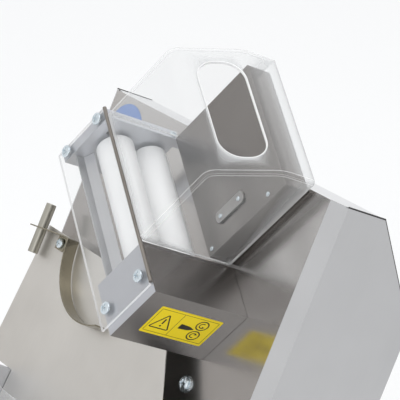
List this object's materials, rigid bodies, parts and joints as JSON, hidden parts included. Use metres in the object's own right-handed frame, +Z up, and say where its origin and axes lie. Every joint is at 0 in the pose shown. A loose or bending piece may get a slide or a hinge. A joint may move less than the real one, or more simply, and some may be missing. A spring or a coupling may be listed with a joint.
{
  "type": "two-stage dough roller",
  "caption": "Leaning steel dough sheeter: tilted upper rollers under a clear hinged hood, chute with weighted rocker, level lower rollers behind a clear guard.",
  "frame": {"origin": "on the floor under the middle of the body's box", "axes": "+X to the machine's right seen from its front, -Y the front, +Z up"},
  "size_m": [0.47, 0.3882, 0.6522],
  "materials": {
    "steel_mirror": "polished stainless sheet",
    "steel_satin": "satin brushed stainless sheet",
    "rocker_steel": "bright stainless strip",
    "aluminium_plate": "milled plate, satin",
    "zinc": "zinc plated",
    "roller_polymer": "turned white acetal",
    "clear_polycarbonate": "clear formed polycarbonate",
    "gear_steel": "oiled black steel",
    "motor_paint": "painted casting",
    "rubber": "moulded rubber",
    "black_plastic": "moulded plastic",
    "green_plastic": "moulded plastic",
    "red_plastic": "moulded plastic"
  },
  "bodies": {
    "body": {"front_panel": "steel_mirror", "side_panel_left": "steel_satin", "side_panel_right": "steel_satin", "top_cover": "steel_satin", "rear_cover": "steel_satin", "base_cover": "steel_satin", "front_apron": "steel_satin", "bottom_plate": "steel_satin", "foot_1": "rubber", "foot_2": "rubber", "foot_3": "rubber", "foot_4": "rubber", "cable_gland": "black_plastic", "drive_side_plate": "aluminium_plate", "motor": "motor_paint", "upper_chain": "gear_steel", "lower_chain": "gear_steel", "drive_box": "steel_mirror", "bearing_plate": "aluminium_plate", "far_plate": "aluminium_plate", "roller_scraper": "steel_satin", "hopper_back": "steel_mirror", "interlock_bracket": "steel_mirror", "front_cover": "clear_polycarbonate", "hood_hinge_rod": "gear_steel", "cover_bolt_1": "zinc", "cover_bolt_2": "zinc", "cover_bolt_3": "zinc", "cover_bolt_4": "zinc", "chute_plate": "steel_satin", "rocker_pivot_bolt": "zinc", "lower_cheek_left": "aluminium_plate", "lower_cheek_right": "aluminium_plate", "lower_gear_cover": "steel_mirror", "discharge_plate": "steel_satin"},
    "motor_rotor": {"motor_shaft": "gear_steel"},
    "cross_shaft": {"cross_shaft": "gear_steel"},
    "head_shaft": {"head_shaft": "gear_steel", "head_bevel_gear": "gear_steel"},
    "upper_rear_roller": {"upper_rear_roller": "roller_polymer", "upper_rear_gear": "gear_steel", "roller_bevel_gear": "gear_steel"},
    "upper_slider": {"gap_slider_near": "aluminium_plate", "gap_slider_far": "aluminium_plate"},
    "upper_front_roller": {"upper_front_roller": "roller_polymer", "upper_front_gear": "gear_steel"},
    "upper_gap_knob": {"gap_knob": "black_plastic"},
    "hood": {"hood": "clear_polycarbonate"},
    "rocker": {"rocker_arm": "rocker_steel", "rocker_weight": "rocker_steel"},
    "lower_rear_roller": {"lower_rear_roller": "roller_polymer", "lower_rear_gear": "gear_steel"},
    "lower_slider": {"lower_slider_left": "aluminium_plate", "lower_slider_right": "aluminium_plate"},
    "lower_front_roller": {"lower_front_roller": "roller_polymer", "lower_front_gear": "gear_steel"},
    "lower_gap_knob": {"lower_gap_knob": "black_plastic"},
    "lower_guard": {"lower_guard": "clear_polycarbonate"},
    "start_button": {"start_button": "green_plastic"},
    "stop_button": {"stop_button": "red_plastic"}
  },
  "joints": [
    {"name": "lower_rear_spin", "type": "hinge", "parent": "body", "child": "lower_rear_roller", "pos_m": [0, -0.09218, 0.16775], "axis": [1, 0, 0], "continuous": true},
    {"name": "motor_spin", "type": "hinge", "parent": "body", "child": "motor_rotor", "pos_m": [0, 0.00813, 0.14617], "axis": [1, 0, 0], "continuous": true},
    {"name": "cross_shaft_spin", "type": "hinge", "parent": "body", "child": "cross_shaft", "pos_m": [0, 0.07842, 0.35394], "axis": [1, 0, 0], "continuous": true},
    {"name": "head_shaft_spin", "type": "hinge", "parent": "body", "child": "head_shaft", "pos_m": [0.12498, 0.03329, 0.37547], "axis": [0, -0.9026, 0.4305], "continuous": true},
    {"name": "upper_rear_spin", "type": "hinge", "parent": "body", "child": "upper_rear_roller", "pos_m": [0.14311, -0.01088, 0.38273], "axis": [-0.8241, 0.2438, 0.5112], "continuous": true},
    {"name": "upper_gap_slide", "type": "slide", "parent": "body", "child": "upper_slider", "axis": [0, 0.9026, -0.4305], "range_m": [0, 0.0035]},
    {"name": "upper_front_spin", "type": "hinge", "parent": "upper_slider", "child": "upper_front_roller", "pos_m": [0.14311, -0.0515, 0.40211], "axis": [-0.8241, 0.2438, 0.5112], "continuous": true},
    {"name": "upper_gap_turn", "type": "hinge", "parent": "body", "child": "upper_gap_knob", "pos_m": [-0.05334, -0.0014, 0.54662], "axis": [-0.8241, 0.2438, 0.5112], "range_deg": [0, 120]},
    {"name": "hood_hinge", "type": "hinge", "parent": "body", "child": "hood", "pos_m": [0.1635, -0.07185, 0.44468], "axis": [0.8241, -0.2438, -0.5112], "range_deg": [0, 100]},
    {"name": "rocker_swing", "type": "hinge", "parent": "body", "child": "rocker", "pos_m": [-0.1745, 0.00605, 0.36714], "axis": [0, -0.8572, 0.515], "range_deg": [-20, 12]},
    {"name": "lower_gap_slide", "type": "slide", "parent": "body", "child": "lower_slider", "axis": [0, 0.8572, -0.515], "range_m": [0, 0.003]},
    {"name": "lower_front_spin", "type": "hinge", "parent": "lower_slider", "child": "lower_front_roller", "pos_m": [0, -0.13118, 0.19119], "axis": [1, 0, 0], "continuous": true},
    {"name": "lower_gap_turn", "type": "hinge", "parent": "body", "child": "lower_gap_knob", "pos_m": [-0.17, -0.12018, 0.22308], "axis": [-1, 0, 0], "range_deg": [0, 120]},
    {"name": "guard_hinge", "type": "hinge", "parent": "body", "child": "lower_guard", "pos_m": [0, -0.12856, 0.25961], "axis": [-1, 0, 0], "range_deg": [0, 80]},
    {"name": "start_press", "type": "slide", "parent": "body", "child": "start_button", "axis": [0, 1, 0], "range_m": [0, 0.003], "stiffness_N_per_m": 300},
    {"name": "stop_press", "type": "slide", "parent": "body", "child": "stop_button", "axis": [0, 1, 0], "range_m": [0, 0.003], "stiffness_N_per_m": 300}
  ],
  "couplings": [
    {"joint": "motor_spin", "follows": "lower_rear_spin", "ratio": 1},
    {"joint": "cross_shaft_spin", "follows": "lower_rear_spin", "ratio": 1},
    {"joint": "head_shaft_spin", "follows": "lower_rear_spin", "ratio": -1},
    {"joint": "upper_rear_spin", "follows": "lower_rear_spin", "ratio": -1},
    {"joint": "upper_front_spin", "follows": "lower_rear_spin", "ratio": 1},
    {"joint": "lower_front_spin", "follows": "lower_rear_spin", "ratio": -1},
    {"joint": "upper_gap_turn", "follows": "upper_gap_slide", "rad_per_m": 598},
    {"joint": "lower_gap_turn", "follows": "lower_gap_slide", "rad_per_m": 698}
  ]
}
